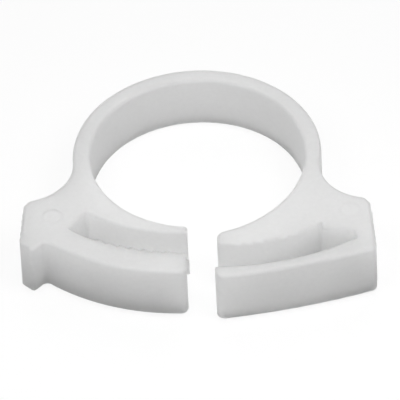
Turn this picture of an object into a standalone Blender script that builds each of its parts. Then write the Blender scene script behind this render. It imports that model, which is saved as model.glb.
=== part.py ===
"""Ratchet cable clip moulded in one piece from natural nylon.

A C-shaped band opens at the front (-Y) into two jaws. Each jaw is a fork of two arms with a
slot between them. The hook jaw (-X) has a thin inner lip and a thick toothed arm, and its lug
ends in a pointed hook. The heel jaw (+X) has a toothed tongue and a plain outer arm, and its
lug ends in a square heel. Closed with pliers on the two lugs, the tongue slides between lip
and toothed arm, and the toothed arm slides between tongue and outer arm.

The clip lies on one side face. All lengths are in metres, all angles in degrees.
"""

import math

import bmesh
import bpy
from mathutils import Matrix, Vector

for old_object in list(bpy.data.objects):
    bpy.data.objects.remove(old_object)

MM = 0.001

# Band
BORE_RADIUS = 18.35 * MM
BAND_WALL = 3.0 * MM
CLIP_WIDTH = 10.0 * MM

# Heel jaw's bore face: an arc a little wider than the band's bore, tangent to it at an angle
HEEL_BORE_EXTRA = 1.55 * MM
HEEL_BORE_ANGLE = 25.0

# Mouth: distance of each tip from the clip's middle plane
LIP_TIP_X = 2.3 * MM
HOOK_ARM_TIP_X = 2.7 * MM
TONGUE_TIP_X = 2.65 * MM
OUTER_ARM_TIP_X = 2.05 * MM

# Jaw arms and the slots between them
LIP_THICKNESS = 1.4 * MM
LIP_FACE_RADIUS = 26.4 * MM
HOOK_ARC_X = 2.2 * MM
HEEL_ARC_X = 4.9 * MM
TONGUE_THICKNESS = 3.7 * MM
HOOK_ARM_THICKNESS = 5.3 * MM
OUTER_ARM_THICKNESS = 2.7 * MM
OUTER_ARM_INNER_RADIUS = 45.0 * MM
OUTER_ARM_FACE_RADIUS = 130.0 * MM
TONGUE_CLEARANCE = 0.8 * MM
ARM_CLEARANCE = 0.15 * MM
HOOK_SLOT_SWING = 40.5
HEEL_SLOT_END_WALL = 3.2 * MM
POCKET_LENGTH = 5.6 * MM
POCKET_END_HEIGHT = 2.4 * MM
STOP_LAND = 0.8 * MM

# Ratchet teeth: a long ramp towards the mouth and a steep locking face behind it
TOOTH_PITCH = 2.0 * MM
TOOTH_HEIGHT = 0.6 * MM
TOOTH_BACK = 0.25 * MM
TOOTH_CLEARANCE = 0.1 * MM
HOOK_LEAD_IN = 0.1 * MM
TONGUE_LEAD_IN = 2.0 * MM

# Hook lug, measured from the band's outer face and from the toothed arm's front
HOOK_LUG_REACH = 8.6 * MM
HOOK_LUG_LENGTH = 12.1 * MM
HOOK_POINT_SETBACK = 7.3 * MM
HOOK_POINT_INSET = 1.1 * MM
HOOK_SIDE_FLARE = 0.88 * MM
HOOK_CHEEK = 2.0 * MM
HOOK_BACK_SLOPE = 14.0
HOOK_NOTCH_SLOPE = 45.0
HOOK_BLEND_RADIUS = 9.0 * MM

# Heel lug, measured from the band's outer face and from the outer arm's front
HEEL_LUG_REACH = 7.7 * MM
HEEL_LUG_LENGTH = 12.5 * MM
HEEL_CORNER_SETBACK = 5.35 * MM
HEEL_SIDE_FLARE = 0.47 * MM
HEEL_BACK_SLOPE = 19.0
HEEL_BLEND_RADIUS = 8.5 * MM
LUG_CHAMFER = 1.0 * MM

# Pliers grip: upright half-round ribs on each lug's side
RIB_RADIUS = 0.4 * MM
RIB_HEIGHT = 0.16 * MM
RIB_PITCH = 1.5 * MM
RIB_END_CLEARANCE = 0.25 * MM

# Ejector pin marks sunk in the lugs' upper faces, placed from each lug's back corner
PIN_MARK_RADIUS = 1.7 * MM
PIN_MARK_DEPTH = 0.12 * MM
HOOK_MARK_PLACE = Vector((4.85, -4.0)) * MM
HEEL_MARK_PLACE = Vector((-3.55, -2.55)) * MM

# Gate stub left on the toothed arm's end, a little below the upper face
GATE_STUB_REACH = 0.5 * MM
GATE_STUB_WIDTH = 2.2 * MM
GATE_STUB_HEIGHT = 1.3 * MM
GATE_STUB_DROP = 0.5 * MM

# Corner radii seen from above
ROOT_RADIUS = 0.5 * MM
LIP_TIP_RADIUS = 0.6 * MM
ARM_TIP_RADIUS = 1.3 * MM
TONGUE_TIP_RADIUS = 1.7 * MM
SHARP_CORNER_RADIUS = 0.6 * MM
NOTCH_RADIUS = 1.0 * MM
HEEL_CORNER_RADIUS = 1.2 * MM
POCKET_RADIUS = 1.6 * MM

# Rounds along the upper and lower edges, and on the upright edges at the slots' open ends
EDGE_ROUND = 0.45 * MM
SLOT_EDGE_ROUND = 0.15 * MM
SLOT_MOUTH_ROUND = 0.3 * MM
ROUND_SEGMENTS = 3

# Fineness of the outline
CHORD_ERROR = 0.012 * MM
SHORTEST_EDGE = 0.05 * MM
LARGEST_STEP = 15.0
RADIUS_STEP = 0.95

# Sizes that follow from those above
BAND_RADIUS = BORE_RADIUS + BAND_WALL
HEEL_BORE_RADIUS = BORE_RADIUS + HEEL_BORE_EXTRA
HEEL_BORE_CENTRE = Vector((math.cos(math.radians(HEEL_BORE_ANGLE)),
                           math.sin(math.radians(HEEL_BORE_ANGLE)))) * -HEEL_BORE_EXTRA
HOOK_CREST_RADIUS = LIP_FACE_RADIUS + TONGUE_THICKNESS + TONGUE_CLEARANCE
HOOK_VALLEY_RADIUS = HOOK_CREST_RADIUS + TOOTH_HEIGHT
HOOK_FACE_RADIUS = HOOK_CREST_RADIUS + HOOK_ARM_THICKNESS
HOOK_CENTRE = Vector((-HOOK_ARC_X, LIP_FACE_RADIUS - BORE_RADIUS - LIP_THICKNESS))
TONGUE_CREST_RADIUS = HOOK_VALLEY_RADIUS - TOOTH_CLEARANCE
TONGUE_VALLEY_RADIUS = TONGUE_CREST_RADIUS - TOOTH_HEIGHT


def circle_point(centre, radius, angle):
    """Point of a circle at an angle in degrees, counted from +X towards +Y."""
    turn = math.radians(angle)
    return centre + radius * Vector((math.cos(turn), math.sin(turn)))


def swing_angle(side, swing):
    """Angle of the direction that swings out from -Y by some degrees, towards -X or +X."""
    return -90.0 + side * swing


def front_point(centre, radius, x):
    """Point on the front (-Y) half of a circle at a given x."""
    return Vector((x, centre.y - math.sqrt(radius ** 2 - (x - centre.x) ** 2)))


def angle_of(point, centre):
    """Angle in degrees of a point about a centre, from -270 up to 90, so no jaw arc jumps."""
    angle = math.degrees(math.atan2(point.y - centre.y, point.x - centre.x))
    return angle - 360.0 if angle > 90.0 else angle


def arc(centre, radius, start, end):
    """Points along an arc between two angles, both ends included."""
    fine_step = 2.0 * math.degrees(math.acos(1.0 - CHORD_ERROR / radius))
    steps = max(1, math.ceil(abs(end - start) / min(fine_step, LARGEST_STEP)))
    return [circle_point(centre, radius, start + (end - start) * i / steps) for i in range(steps + 1)]


def arc_between(centre, radius, start_point, end_point):
    """Points along the front of a circle between two of its points."""
    return arc(centre, radius, angle_of(start_point, centre), angle_of(end_point, centre))


def crowned_line(start, end, radius):
    """Points from start to end along a shallow arc that bulges to the right of the way."""
    chord = end - start
    half = chord.length / 2.0
    left = Vector((-chord.y, chord.x)).normalized()
    centre = (start + end) / 2.0 + left * math.sqrt(radius ** 2 - half ** 2)
    return arc_between(centre, radius, start, end)


def line_meets_circle(point, direction, radius):
    """First point that a line from outside meets on a circle about the bore's axis."""
    along = point.dot(direction)
    reach = -along - math.sqrt(along ** 2 - point.length_squared + radius ** 2)
    return point + direction * reach


def line_meets_front(point, direction, centre, radius):
    """Last point where a line leaves a circle, going along its direction backwards from outside."""
    shifted = point - centre
    along = shifted.dot(direction)
    reach = -along - math.sqrt(along ** 2 - shifted.length_squared + radius ** 2)
    return point + direction * reach


def nearest_on_path(point, path):
    """Nearest point of an open path, as (index of the stretch, point)."""
    best = None
    for index, (a, b) in enumerate(zip(path, path[1:])):
        span = b - a
        share = max(0.0, min(1.0, (point - a).dot(span) / span.length_squared))
        foot = a + span * share
        distance = (point - foot).length
        if best is None or distance < best[0]:
            best = (distance, index, foot)
    return best[1], best[2]


def tangent_circle(before, after, radius):
    """Circle that touches two paths near the corner where they meet.

    Its centre is moved until it lies one radius from both paths. Returns the centre and, for each
    path, the touching point as (index of the stretch, point).
    """
    corner = before[-1]
    back = (before[-2] - corner).normalized()
    ahead = (after[1] - corner).normalized()
    half_angle = back.angle(ahead) / 2.0
    centre = corner + (back + ahead).normalized() * radius / math.sin(half_angle)
    for _ in range(20):
        first_index, first_foot = nearest_on_path(centre, before)
        last_index, last_foot = nearest_on_path(centre, after)
        first_normal = (centre - first_foot).normalized()
        last_normal = (centre - last_foot).normalized()
        first_miss = radius - (centre - first_foot).length
        last_miss = radius - (centre - last_foot).length
        spread = first_normal.x * last_normal.y - first_normal.y * last_normal.x
        centre = centre + Vector((
            (first_miss * last_normal.y - last_miss * first_normal.y) / spread,
            (last_miss * first_normal.x - first_miss * last_normal.x) / spread))
    return centre, (first_index, first_foot), (last_index, last_foot)


def thinned(path):
    """A path without the inner points that nearly coincide with a neighbour."""
    kept = [path[0]]
    for point in path[1:-1]:
        if min((point - kept[-1]).length, (point - path[-1]).length) > SHORTEST_EDGE:
            kept.append(point)
    return kept + [path[-1]]


def rounded_corner(before, after, radius):
    """Round the corner where two paths meet, with a smaller radius where a path is too short.

    Returns the first path cut short, the arc's inner points and the second path cut short.
    """
    while True:
        centre, (first_index, first_foot), (last_index, last_foot) = tangent_circle(before, after, radius)
        room = min((first_foot - before[0]).length, (last_foot - after[-1]).length)
        if room > SHORTEST_EDGE or radius < SHORTEST_EDGE:
            break
        radius = radius * RADIUS_STEP
    start = angle_of(first_foot, centre)
    turn = (angle_of(last_foot, centre) - start + 180.0) % 360.0 - 180.0
    bend = arc(centre, radius, start, start + turn)
    return (thinned(before[:first_index + 1] + [first_foot]), bend[1:-1],
            thinned([last_foot] + after[last_index + 1:]))


def join_paths(stretches):
    """Close a ring of stretches into one outline.

    A stretch is (path, corner radius at its end, whether its edges get the fine round). The
    smallest corners are rounded first, and the large blends take what is left. Returns the
    outline's points and, for each point, whether the edge after it gets the fine round.
    """
    paths = [list(path) for path, _, _ in stretches]
    radii = [radius for _, radius, _ in stretches]
    bends = [[] for _ in stretches]
    for index in sorted(range(len(stretches)), key=lambda place: radii[place]):
        following = (index + 1) % len(stretches)
        if radii[index] > 0.0:
            paths[index], bends[index], paths[following] = rounded_corner(
                paths[index], paths[following], radii[index])
    points = []
    fine = []
    for path, radius, bend, (_, _, is_fine) in zip(paths, radii, bends, stretches):
        own = path + bend if radius > 0.0 else path[:-1]
        for point in own:
            if not points or (point - points[-1]).length > SHORTEST_EDGE:
                points.append(point)
                fine.append(is_fine)
    return points, fine


def toothed_arc(centre, side, crest_radius, valley_radius, tip_point, end_angle, lead_in):
    """Ratchet face from the mouth to its last tooth, with as many whole teeth as there is room for.

    A plain lead-in at the valley's radius runs from the tip to the first tooth. Each tooth climbs
    a long ramp to its crest and drops over a steep locking face that looks to the root.
    """
    pitch = math.degrees(TOOTH_PITCH / crest_radius)
    back = math.degrees(TOOTH_BACK / crest_radius)
    tip_angle = angle_of(tip_point, centre)
    room = side * (end_angle - tip_angle) - math.degrees(lead_in / valley_radius)
    count = int(room / pitch)
    first_angle = end_angle - side * count * pitch
    path = arc(centre, valley_radius, tip_angle, first_angle)
    for tooth in range(count):
        root = first_angle + side * (tooth + 1) * pitch
        path.append(circle_point(centre, crest_radius, root - side * back))
        path.append(circle_point(centre, valley_radius, root))
    return path


def hook_jaw():
    """Stretches of the hook jaw, from the lug's back edge to the lip's tip, with its key points."""
    front_y = HOOK_CENTRE.y - HOOK_FACE_RADIUS
    side_x = -BAND_RADIUS - HOOK_LUG_REACH
    point_y = front_y + HOOK_POINT_SETBACK
    back_corner = Vector((side_x, point_y + HOOK_LUG_LENGTH))
    back_way = Vector((math.cos(math.radians(HOOK_BACK_SLOPE)), math.sin(math.radians(HOOK_BACK_SLOPE))))
    blend_corner = line_meets_circle(back_corner, back_way, BAND_RADIUS)
    chamfer_start = back_corner + back_way * LUG_CHAMFER
    side_start = back_corner - Vector((0.0, LUG_CHAMFER))
    side_end = Vector((side_x - HOOK_SIDE_FLARE, point_y + HOOK_CHEEK))
    hook_point = Vector((side_x + HOOK_POINT_INSET, point_y))
    notch_way = Vector((math.cos(math.radians(HOOK_NOTCH_SLOPE)), math.sin(math.radians(HOOK_NOTCH_SLOPE))))
    notch = line_meets_front(hook_point, notch_way, HOOK_CENTRE, HOOK_FACE_RADIUS)
    face_tip = front_point(HOOK_CENTRE, HOOK_FACE_RADIUS, -HOOK_ARM_TIP_X)
    slot_tip = front_point(HOOK_CENTRE, HOOK_VALLEY_RADIUS, -HOOK_ARM_TIP_X)
    lip_tip = front_point(HOOK_CENTRE, LIP_FACE_RADIUS, -LIP_TIP_X)
    bore_tip = front_point(Vector((0.0, 0.0)), BORE_RADIUS, -LIP_TIP_X)
    end_angle = swing_angle(-1, HOOK_SLOT_SWING)
    teeth_end = end_angle + math.degrees(POCKET_LENGTH / HOOK_CREST_RADIUS)
    teeth = toothed_arc(HOOK_CENTRE, -1, HOOK_CREST_RADIUS, HOOK_VALLEY_RADIUS, slot_tip, teeth_end,
                        HOOK_LEAD_IN)
    pocket = arc(HOOK_CENTRE, HOOK_VALLEY_RADIUS, teeth_end, end_angle)
    slot_end = [pocket[-1], circle_point(HOOK_CENTRE, LIP_FACE_RADIUS, end_angle)]
    lip_face = arc(HOOK_CENTRE, LIP_FACE_RADIUS, end_angle, angle_of(lip_tip, HOOK_CENTRE))
    stretches = [
        ([blend_corner, chamfer_start], SHARP_CORNER_RADIUS, False),
        ([chamfer_start, side_start], SHARP_CORNER_RADIUS, False),
        ([side_start, side_end], SHARP_CORNER_RADIUS, False),
        ([side_end, hook_point], SHARP_CORNER_RADIUS, False),
        ([hook_point, notch], NOTCH_RADIUS, False),
        (arc_between(HOOK_CENTRE, HOOK_FACE_RADIUS, notch, face_tip), ARM_TIP_RADIUS, False),
        ([face_tip, slot_tip], 0.0, False),
        (teeth + pocket[1:], ROOT_RADIUS, True),
        (slot_end, ROOT_RADIUS, True),
        (lip_face, 0.0, True),
        ([lip_tip, bore_tip], LIP_TIP_RADIUS, False),
    ]
    arm_end = (face_tip + slot_tip) / 2.0
    return stretches, blend_corner, bore_tip, (side_start, side_end), back_corner, arm_end


def heel_jaw():
    """Stretches of the heel jaw, from the tongue's tip to the lug's back edge, with its key points."""
    bore_tip = front_point(HEEL_BORE_CENTRE, HEEL_BORE_RADIUS, TONGUE_TIP_X)
    crest_y = bore_tip.y - TONGUE_THICKNESS
    centre = Vector((HEEL_ARC_X, crest_y + TONGUE_CREST_RADIUS))
    inner_face_y = crest_y + TOOTH_HEIGHT - HOOK_ARM_THICKNESS - ARM_CLEARANCE
    arm_centre = Vector((HEEL_ARC_X, inner_face_y + OUTER_ARM_INNER_RADIUS))
    front_y = inner_face_y - OUTER_ARM_THICKNESS
    side_x = BAND_RADIUS + HEEL_LUG_REACH
    tongue_tip = front_point(centre, TONGUE_VALLEY_RADIUS, TONGUE_TIP_X)
    slot_end_x = side_x + HEEL_SIDE_FLARE - HEEL_SLOT_END_WALL
    arm_root = front_point(arm_centre, OUTER_ARM_INNER_RADIUS, slot_end_x)
    pocket_corner = arm_root + Vector((0.0, POCKET_END_HEIGHT))
    stop_x = slot_end_x - POCKET_LENGTH
    stop_root = front_point(centre, TONGUE_VALLEY_RADIUS, stop_x)
    teeth_end = angle_of(front_point(centre, TONGUE_VALLEY_RADIUS, stop_x - STOP_LAND), centre)
    teeth = toothed_arc(centre, 1, TONGUE_CREST_RADIUS, TONGUE_VALLEY_RADIUS, tongue_tip, teeth_end,
                        TONGUE_LEAD_IN)
    stop = Vector((stop_x, pocket_corner.y))
    arm_tip = front_point(arm_centre, OUTER_ARM_INNER_RADIUS, OUTER_ARM_TIP_X)
    face_tip = Vector((OUTER_ARM_TIP_X, front_y))
    heel_corner = Vector((side_x + HEEL_SIDE_FLARE, front_y + HEEL_CORNER_SETBACK))
    back_corner = Vector((side_x, heel_corner.y + HEEL_LUG_LENGTH))
    back_way = Vector((-math.cos(math.radians(HEEL_BACK_SLOPE)), math.sin(math.radians(HEEL_BACK_SLOPE))))
    blend_corner = line_meets_circle(back_corner, back_way, BAND_RADIUS)
    side_end = back_corner - Vector((0.0, LUG_CHAMFER))
    chamfer_end = back_corner + back_way * LUG_CHAMFER
    stretches = [
        ([bore_tip, tongue_tip], 0.0, False),
        (teeth + [stop_root], 0.0, True),
        ([stop_root, stop], 0.0, True),
        ([stop, pocket_corner], POCKET_RADIUS, True),
        ([pocket_corner, arm_root], ROOT_RADIUS, True),
        (arc_between(arm_centre, OUTER_ARM_INNER_RADIUS, arm_root, arm_tip), 0.0, True),
        ([arm_tip, face_tip], ARM_TIP_RADIUS, False),
        (crowned_line(face_tip, heel_corner, OUTER_ARM_FACE_RADIUS), HEEL_CORNER_RADIUS, False),
        ([heel_corner, side_end], SHARP_CORNER_RADIUS, False),
        ([side_end, chamfer_end], SHARP_CORNER_RADIUS, False),
        ([chamfer_end, blend_corner], HEEL_BLEND_RADIUS, False),
    ]
    return stretches, blend_corner, bore_tip, (side_end, heel_corner), back_corner


def clip_outline():
    """The whole outline seen from above, counter-clockwise.

    Returns its points, the marks of its finely rounded edges, the lugs' sides, the lugs' back
    corners and the middle of the toothed arm's end.
    """
    hook, hook_blend, hook_bore_tip, hook_side, hook_back, arm_end = hook_jaw()
    heel, heel_blend, heel_bore_tip, heel_side, heel_back = heel_jaw()
    axis = Vector((0.0, 0.0))
    band_back = arc(axis, BAND_RADIUS, angle_of(heel_blend, axis), angle_of(hook_blend, axis) + 360.0)
    bore = arc(axis, BORE_RADIUS, angle_of(hook_bore_tip, axis) + 360.0, HEEL_BORE_ANGLE)
    heel_bore = arc(HEEL_BORE_CENTRE, HEEL_BORE_RADIUS, HEEL_BORE_ANGLE,
                    angle_of(heel_bore_tip, HEEL_BORE_CENTRE))
    stretches = ([(band_back, HOOK_BLEND_RADIUS, False)] + hook
                 + [(bore + heel_bore[1:], TONGUE_TIP_RADIUS, False)] + heel)
    points, fine = join_paths(stretches)
    return points, fine, (hook_side, heel_side), (hook_back, heel_back), arm_end


def middle_of(points):
    """Middle of the box around an outline."""
    xs = [point.x for point in points]
    ys = [point.y for point in points]
    return Vector(((min(xs) + max(xs)) / 2.0, (min(ys) + max(ys)) / 2.0))


def nylon():
    """Natural nylon: milky white with a soft sheen."""
    material = bpy.data.materials.new("natural_nylon")
    material.use_nodes = True
    shader = material.node_tree.nodes["Principled BSDF"]
    shader.inputs["Base Color"].default_value = (0.80, 0.80, 0.79, 1.0)
    shader.inputs["Roughness"].default_value = 0.45
    shader.inputs["Metallic"].default_value = 0.0
    return material


def extruded_body(points, fine, middle):
    """The outline raised to the clip's width, with a round weight on each edge that gets a round.

    Upper and lower edges are rounded all the way, less along the slots. An upright edge is
    rounded only where a slot's wall meets the end of its arm.
    """
    mesh = bpy.data.meshes.new("clip_body")
    shape = bmesh.new()
    weight = shape.edges.layers.float.new("bevel_weight_edge")
    base = [shape.verts.new((point.x - middle.x, point.y - middle.y, 0.0)) for point in points]
    floor = shape.faces.new(base)
    raised = bmesh.ops.extrude_face_region(shape, geom=[floor])["geom"]
    top = [item for item in raised if isinstance(item, bmesh.types.BMVert)]
    bmesh.ops.translate(shape, vec=(0.0, 0.0, CLIP_WIDTH), verts=top)
    bmesh.ops.recalc_face_normals(shape, faces=shape.faces)
    place = {}
    for index, vertex in enumerate(base):
        place[(round(vertex.co.x, 9), round(vertex.co.y, 9))] = index
    for edge in shape.edges:
        ends = [place[(round(vertex.co.x, 9), round(vertex.co.y, 9))] for vertex in edge.verts]
        if ends[0] == ends[1]:
            opens_slot = fine[ends[0]] != fine[ends[0] - 1]
            edge[weight] = SLOT_MOUTH_ROUND / EDGE_ROUND if opens_slot else 0.0
        else:
            first = max(ends) if set(ends) == {0, len(base) - 1} else min(ends)
            edge[weight] = SLOT_EDGE_ROUND / EDGE_ROUND if fine[first] else 1.0
    shape.to_mesh(mesh)
    shape.free()
    body = bpy.data.objects.new("clip_body", mesh)
    bpy.context.collection.objects.link(body)
    round_over = body.modifiers.new("edge rounds", "BEVEL")
    round_over.limit_method = "WEIGHT"
    round_over.width = EDGE_ROUND
    round_over.segments = ROUND_SEGMENTS
    round_over.use_clamp_overlap = False
    return body


def guide_object(name, shape):
    """Guide object for a Boolean, hidden in renders, made from a bmesh that is freed."""
    mesh = bpy.data.meshes.new(name)
    shape.to_mesh(mesh)
    shape.free()
    guide = bpy.data.objects.new(name, mesh)
    bpy.context.collection.objects.link(guide)
    guide.hide_render = True
    guide.display_type = "WIRE"
    return guide


def upright_rods(name, centres, radius, low, high, sides):
    """Guide object of upright round rods, one at each centre."""
    shape = bmesh.new()
    for centre in centres:
        bmesh.ops.create_cone(shape, cap_ends=True, segments=sides, radius1=radius, radius2=radius,
                              depth=high - low,
                              matrix=Matrix.Translation((centre.x, centre.y, (low + high) / 2.0)))
    return guide_object(name, shape)


def gate_stub(name, arm_end):
    """Guide object of the gate stub, which goes into the arm as far as it stands out of it."""
    middle = Vector((arm_end.x, arm_end.y, CLIP_WIDTH - GATE_STUB_DROP - GATE_STUB_HEIGHT / 2.0))
    size = Vector((2.0 * GATE_STUB_REACH, GATE_STUB_WIDTH, GATE_STUB_HEIGHT))
    shape = bmesh.new()
    bmesh.ops.create_cube(shape, size=1.0, matrix=Matrix.LocRotScale(middle, None, size))
    return guide_object(name, shape)


def combine(body, guide, operation):
    """Add a guide's shape to the body or cut it away."""
    step = body.modifiers.new(guide.name, "BOOLEAN")
    step.operation = operation
    step.solver = "EXACT"
    step.object = guide


def rib_centres(side, middle):
    """Centres of the grip ribs along one lug's side, spaced evenly about its middle."""
    start, end = side
    run = end - start
    inward = Vector((-run.y, run.x)).normalized()
    count = int((run.length - 2.0 * RIB_PITCH) / RIB_PITCH) + 1
    first = (run.length - (count - 1) * RIB_PITCH) / 2.0
    line = start - middle + inward * (RIB_RADIUS - RIB_HEIGHT)
    return [line + run.normalized() * (first + index * RIB_PITCH) for index in range(count)]


def build_clip():
    """Model the clip lying on its side face, with the middle of its footprint at the origin."""
    points, fine, (hook_side, heel_side), (hook_back, heel_back), arm_end = clip_outline()
    middle = middle_of(points)
    body = extruded_body(points, fine, middle)
    ribs = rib_centres(hook_side, middle) + rib_centres(tuple(reversed(heel_side)), middle)
    rib_low = EDGE_ROUND + RIB_END_CLEARANCE
    combine(body, upright_rods("grip_ribs", ribs, RIB_RADIUS, rib_low, CLIP_WIDTH - rib_low, 12), "UNION")
    combine(body, gate_stub("gate_stub", arm_end - middle), "UNION")
    marks = [hook_back - middle + HOOK_MARK_PLACE, heel_back - middle + HEEL_MARK_PLACE]
    combine(body, upright_rods("pin_marks", marks, PIN_MARK_RADIUS, CLIP_WIDTH - PIN_MARK_DEPTH,
                               CLIP_WIDTH + PIN_MARK_DEPTH, 32), "DIFFERENCE")
    body.data.materials.append(nylon())
    body.data.shade_smooth()
    body.data.set_sharp_from_angle(angle=math.radians(30.0))


build_clip()
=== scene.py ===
"""Looks of a one-piece ratchet cable clip in natural nylon, lying on a white studio floor."""

import logging
import math
from dataclasses import dataclass, field
from enum import Enum
from typing import Any

import bpy
from mathutils import Matrix, Vector


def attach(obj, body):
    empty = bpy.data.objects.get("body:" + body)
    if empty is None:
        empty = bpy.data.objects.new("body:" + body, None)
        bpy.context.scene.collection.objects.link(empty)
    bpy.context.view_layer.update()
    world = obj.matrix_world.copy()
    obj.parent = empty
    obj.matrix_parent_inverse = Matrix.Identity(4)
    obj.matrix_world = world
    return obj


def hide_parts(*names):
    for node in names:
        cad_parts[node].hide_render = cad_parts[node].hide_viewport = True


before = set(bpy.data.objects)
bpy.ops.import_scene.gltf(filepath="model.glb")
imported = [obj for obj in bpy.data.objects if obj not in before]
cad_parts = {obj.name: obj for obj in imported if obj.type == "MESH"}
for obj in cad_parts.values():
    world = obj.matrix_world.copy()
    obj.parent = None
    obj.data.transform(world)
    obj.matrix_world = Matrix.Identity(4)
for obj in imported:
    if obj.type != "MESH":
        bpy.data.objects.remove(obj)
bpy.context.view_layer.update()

MM = 0.001

log = logging.getLogger("cable_clip")


class Part(Enum):
    """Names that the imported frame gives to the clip's node, body and material slot."""

    NODE = "clip_body"
    BODY = "root"
    SLOT = "natural_nylon"


class Wire:
    """A shader socket on which arithmetic can be written as Python expressions."""

    def __init__(self, tree: "Shader", socket: bpy.types.NodeSocket) -> None:
        """Wrap one output socket.

        Args:
            tree: the shader that the socket belongs to.
            socket: the output socket to wrap.
        """
        self.tree = tree
        self.socket = socket

    def _math(self, operation: str, first: Any, second: Any) -> "Wire":
        """Add a Math node.

        Args:
            operation: the Math node's operation.
            first: the first value, a number or a Wire.
            second: the second value, a number or a Wire.

        Returns:
            The node's result.
        """
        return self.tree.node("ShaderNodeMath", {"operation": operation}, {0: first, 1: second})

    def __add__(self, other: Any) -> "Wire":
        """Sum of two values."""
        return self._math("ADD", self, other)

    def __radd__(self, other: Any) -> "Wire":
        """Sum with a number on the left."""
        return self._math("ADD", other, self)

    def __sub__(self, other: Any) -> "Wire":
        """Difference of two values."""
        return self._math("SUBTRACT", self, other)

    def __rsub__(self, other: Any) -> "Wire":
        """Difference with a number on the left."""
        return self._math("SUBTRACT", other, self)

    def __mul__(self, other: Any) -> "Wire":
        """Product of two values."""
        return self._math("MULTIPLY", self, other)

    def __rmul__(self, other: Any) -> "Wire":
        """Product with a number on the left."""
        return self._math("MULTIPLY", other, self)

    def larger(self, other: Any) -> "Wire":
        """The larger of two values."""
        return self._math("MAXIMUM", self, other)


class Shader:
    """A material's or a world's node tree, built node by node."""

    def __init__(self, owner: Any) -> None:
        """Empty the owner's node tree.

        Args:
            owner: the material or world that the nodes are for.
        """
        owner.use_nodes = True
        self.nodes = owner.node_tree.nodes
        self.links = owner.node_tree.links
        self.nodes.clear()

    def node(
        self,
        kind: str,
        settings: dict[str, Any] | None = None,
        values: dict[str | int, Any] | None = None,
        output: str | int = 0,
    ) -> Wire:
        """Add one node.

        Args:
            kind: the node's type name.
            settings: the node's own settings, which are set first.
            values: numbers, colours or Wires for its input sockets, by name or number.
            output: the output socket to return.

        Returns:
            The chosen output.
        """
        made = self.nodes.new(kind)
        for name, value in (settings or {}).items():
            setattr(made, name, value)
        for name, value in (values or {}).items():
            if isinstance(value, Wire):
                self.links.new(value.socket, made.inputs[name])
            else:
                made.inputs[name].default_value = value
        return Wire(self, made.outputs[output])

    def surface(self, shader: Wire, kind: str = "ShaderNodeOutputMaterial") -> None:
        """Link a shader to the tree's output.

        Args:
            shader: the shader to show.
            kind: the output node's type name.
        """
        made = self.nodes.new(kind)
        self.links.new(shader.socket, made.inputs["Surface"])

    def seen_directly(self) -> Wire:
        """Tell the rays that show a background from those that light the object.

        Returns:
            1 for camera, glossy and transmission rays and 0 for others.
        """
        camera, glossy, through = (
            self.node("ShaderNodeLightPath", output=name)
            for name in ("Is Camera Ray", "Is Glossy Ray", "Is Transmission Ray")
        )
        return camera.larger(glossy).larger(through)


@dataclass(frozen=True)
class Clouds:
    """A cloudy pattern in the moulding: how large its clouds are and how finely they break up."""

    size: float
    finer_layers: int
    layer_strength: float = 0.55

    def pattern(self, shader: Shader, place: Wire) -> Wire:
        """Draw the clouds around 0.

        Args:
            shader: the material's shader.
            place: the point on the object, in metres.

        Returns:
            A value that runs from about -0.5 to 0.5.
        """
        values = {
            "Vector": place,
            "Scale": 1 / self.size,
            "Detail": self.finer_layers,
            "Roughness": self.layer_strength,
        }
        return shader.node("ShaderNodeTexNoise", {}, values) - 0.5


@dataclass(frozen=True)
class NaturalNylon:
    """Undyed moulded nylon: milky, satin, and clear enough for light to cross its thin walls."""

    name: str = "natural_nylon"
    grey: float = 0.9
    warmth: float = 0.004
    mottle: Clouds = Clouds(7 * MM, finer_layers=3)
    mottle_swing: float = 0.018
    speckle: Clouds = Clouds(0.7 * MM, finer_layers=3)
    speckle_swing: float = 0.03
    roughness: float = 0.46
    roughness_swing: float = 0.06
    refraction: float = 1.53
    scatter: float = 45 * MM
    grain: Clouds = Clouds(0.22 * MM, finer_layers=2)
    grain_depth: float = 0.006 * MM
    ripple: Clouds = Clouds(3.5 * MM, finer_layers=1)
    ripple_depth: float = 0.03 * MM
    edge_softness: float = 0.9 * MM
    edge_samples: int = 8

    def material(self) -> bpy.types.Material:
        """Make the material.

        Returns:
            The finished material.
        """
        made = bpy.data.materials.new(self.name)
        shader = Shader(made)
        place = shader.node("ShaderNodeTexCoord", output="Object")
        mottle = self.mottle.pattern(shader, place)
        speckle = self.speckle.pattern(shader, place)
        grain = self.grain.pattern(shader, place)
        ripple = self.ripple.pattern(shader, place)
        grey = self.grey + mottle * (2 * self.mottle_swing) + speckle * (2 * self.speckle_swing)
        colour = shader.node(
            "ShaderNodeCombineColor", {}, {"Red": grey, "Green": grey, "Blue": grey - self.warmth}
        )
        relief = grain * self.grain_depth + ripple * self.ripple_depth
        soft_edges = shader.node(
            "ShaderNodeBevel", {"samples": self.edge_samples}, {"Radius": self.edge_softness}
        )
        bump = shader.node(
            "ShaderNodeBump",
            {},
            {"Strength": 1.0, "Distance": 1.0, "Height": relief, "Normal": soft_edges},
        )
        skin = shader.node(
            "ShaderNodeBsdfPrincipled",
            {"subsurface_method": "RANDOM_WALK"},
            {
                "Base Color": colour,
                "Roughness": self.roughness + mottle * (2 * self.roughness_swing),
                "IOR": self.refraction,
                "Subsurface Weight": 1.0,
                "Subsurface Radius": (1.0, 1.0, 1.0),
                "Subsurface Scale": self.scatter,
                "Normal": bump,
            },
        )
        shader.surface(skin)
        return made


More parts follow.
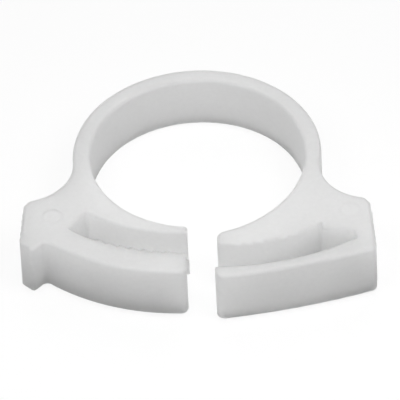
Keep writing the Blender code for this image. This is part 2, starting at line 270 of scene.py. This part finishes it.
@dataclass
class ClipBody:
    """The whole clip: band, hook jaw and heel jaw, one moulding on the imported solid's form."""

    finish: NaturalNylon = field(default_factory=NaturalNylon)
    merge_distance: float = 0.0005 * MM
    flat_within: float = math.radians(0.1)
    smooth_below: float = math.radians(40)

    def build(self) -> bpy.types.Object:
        """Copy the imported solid's surface, smooth it and dress it.

        Returns:
            The finished piece.
        """
        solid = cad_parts[Part.NODE.value]
        bpy.ops.object.select_all(action="DESELECT")
        piece = bpy.data.objects.new("clip_moulding", solid.data.copy())
        bpy.context.scene.collection.objects.link(piece)
        piece.select_set(True)
        bpy.context.view_layer.objects.active = piece
        self.merge()
        self.smooth(piece)
        piece.data.materials.clear()
        piece.data.materials.append(self.finish.material())
        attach(piece, Part.BODY.value)
        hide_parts(Part.NODE.value)
        return piece

    def merge(self) -> None:
        """Join the active mesh's loose triangles into one closed skin with whole flat faces."""
        bpy.ops.object.mode_set(mode="EDIT")
        bpy.ops.mesh.select_all(action="SELECT")
        bpy.ops.mesh.remove_doubles(threshold=self.merge_distance)
        bpy.ops.mesh.dissolve_limited(angle_limit=self.flat_within)
        bpy.ops.mesh.select_all(action="DESELECT")
        bpy.ops.object.mode_set(mode="OBJECT")

    def smooth(self, piece: bpy.types.Object) -> None:
        """Shade the rounds smooth and keep the flat faces flat.

        Args:
            piece: the clip, which is the active object.
        """
        bpy.ops.object.shade_smooth_by_angle(angle=self.smooth_below)
        weighted = piece.modifiers.new("flat_faces", "WEIGHTED_NORMAL")
        weighted.keep_sharp = True
        bpy.ops.object.modifier_apply(modifier=weighted.name)


@dataclass
class Camera:
    """The photograph's view: from the front and above, almost without perspective."""

    bore_axis: Vector = field(default_factory=lambda: Vector((0.661, 4.949, 0)) * MM)
    elevation: float = math.radians(42.88)
    roll: float = math.radians(-2.9)
    distance: float = 1400 * MM
    aim_right: float = 0.169 * MM
    aim_up: float = -0.794 * MM
    lens_mm: float = 731.2
    sensor_mm: float = 36.0
    depth_ratio: float = 10

    def build(self) -> bpy.types.Object:
        """Place the camera and make it the scene's.

        Returns:
            The camera.
        """
        across = Vector((1, 0, 0))
        upward = Vector((0, math.sin(self.elevation), math.cos(self.elevation)))
        forward = Vector((0, math.cos(self.elevation), -math.sin(self.elevation)))
        right = across * math.cos(self.roll) + upward * math.sin(self.roll)
        top = upward * math.cos(self.roll) - across * math.sin(self.roll)
        aim = self.bore_axis + right * self.aim_right + top * self.aim_up
        data = bpy.data.cameras.new("photo_view")
        data.lens = self.lens_mm
        data.sensor_width = self.sensor_mm
        data.clip_start = self.distance / self.depth_ratio
        data.clip_end = self.distance * self.depth_ratio
        camera = bpy.data.objects.new("photo_view", data)
        turn = Matrix((right, top, -forward)).transposed()
        camera.matrix_world = Matrix.Translation(aim - forward * self.distance) @ turn.to_4x4()
        bpy.context.scene.collection.objects.link(camera)
        bpy.context.scene.camera = camera
        return camera


@dataclass(frozen=True)
class Softbox:
    """One soft square lamp, aimed at the clip's middle; azimuth 0 is in front and 90 on the right."""

    name: str
    azimuth_deg: float
    elevation_deg: float
    distance: float
    size: float
    power: float

    def build(self) -> bpy.types.Object:
        """Place the lamp.

        Returns:
            The lamp.
        """
        data = bpy.data.lights.new(self.name, "AREA")
        data.shape = "SQUARE"
        data.size = self.size
        data.energy = self.power
        lamp = bpy.data.objects.new(self.name, data)
        azimuth = math.radians(self.azimuth_deg)
        elevation = math.radians(self.elevation_deg)
        level = math.cos(elevation)
        away = Vector(
            (math.sin(azimuth) * level, -math.cos(azimuth) * level, math.sin(elevation))
        )
        lamp.location = away * self.distance
        lamp.rotation_mode = "QUATERNION"
        lamp.rotation_quaternion = away.to_track_quat("Z", "Y")
        lamp.visible_camera = False
        bpy.context.scene.collection.objects.link(lamp)
        return lamp


@dataclass
class Studio:
    """A white floor that keeps a faint shadow, two near lamps in front, one behind, one right."""

    floor_size: float = 3.0
    floor_drop: float = 0.6 * MM
    floor_glow: float = 0.88
    floor_shadow_share: float = 0.13
    floor_bounce: float = 0.8
    floor_light: float = 0.07
    lamps: tuple[Softbox, ...] = (
        Softbox("front_left", -45, 60, distance=0.2, size=0.1, power=0.128),
        Softbox("front_right", 45, 60, distance=0.2, size=0.1, power=0.172),
        Softbox("back_low", 180, 45, distance=1.0, size=0.8, power=3.9),
        Softbox("right_low", 90, 45, distance=1.0, size=0.8, power=0.8),
    )

    def floor_layer(self, shader: Shader, light: float, grey: float) -> Wire:
        """Light from below plus a dull grey that takes shadows.

        Args:
            shader: the floor's shader.
            light: the strength of the floor's own light.
            grey: the share of the lamps' light that the floor returns.

        Returns:
            The layer's shader.
        """
        glow = shader.node("ShaderNodeEmission", {}, {"Strength": light})
        dull = shader.node("ShaderNodeBsdfDiffuse", {}, {"Color": (grey, grey, grey, 1)})
        return shader.node("ShaderNodeAddShader", {}, {0: glow, 1: dull})

    def floor_material(self) -> bpy.types.Material:
        """White where it is seen, with the clip's shadow, and a faintly lit sheet to bounced light.

        Returns:
            The floor's material.
        """
        made = bpy.data.materials.new("studio_floor")
        shader = Shader(made)
        shown = self.floor_layer(shader, self.floor_glow, self.floor_shadow_share)
        lighting = self.floor_layer(shader, self.floor_light, self.floor_bounce)
        seen = shader.seen_directly()
        shader.surface(shader.node("ShaderNodeMixShader", {}, {0: seen, 1: lighting, 2: shown}))
        return made

    def build_floor(self) -> bpy.types.Object:
        """Make the floor that the clip lies on.

        Returns:
            The floor.
        """
        bpy.ops.object.select_all(action="DESELECT")
        bpy.ops.mesh.primitive_plane_add(size=self.floor_size, location=(0, 0, -self.floor_drop))
        floor = bpy.context.object
        floor.name = "studio_floor"
        floor.data.materials.append(self.floor_material())
        return floor

    def build_world(self) -> bpy.types.World:
        """Make the surrounding, which is white where it is seen and adds no light.

        Returns:
            The world.
        """
        world = bpy.data.worlds.new("studio")
        shader = Shader(world)
        white = {"Color": (1, 1, 1, 1), "Strength": shader.seen_directly()}
        shader.surface(shader.node("ShaderNodeBackground", {}, white), "ShaderNodeOutputWorld")
        bpy.context.scene.world = world
        return world

    def build(self) -> None:
        """Set up the floor, the surrounding and the lamps."""
        self.build_floor()
        self.build_world()
        for lamp in self.lamps:
            lamp.build()
        bpy.context.scene.view_settings.view_transform = "Standard"


def main() -> None:
    """Build the clip, the studio and the camera in order, and report each piece."""
    logging.basicConfig(level=logging.INFO, format="%(name)s: %(message)s")
    Camera().build()
    clip = ClipBody().build()
    log.info("%s: %d faces", clip.name, len(clip.data.polygons))
    Studio().build()


if __name__ == "__main__":
    main()
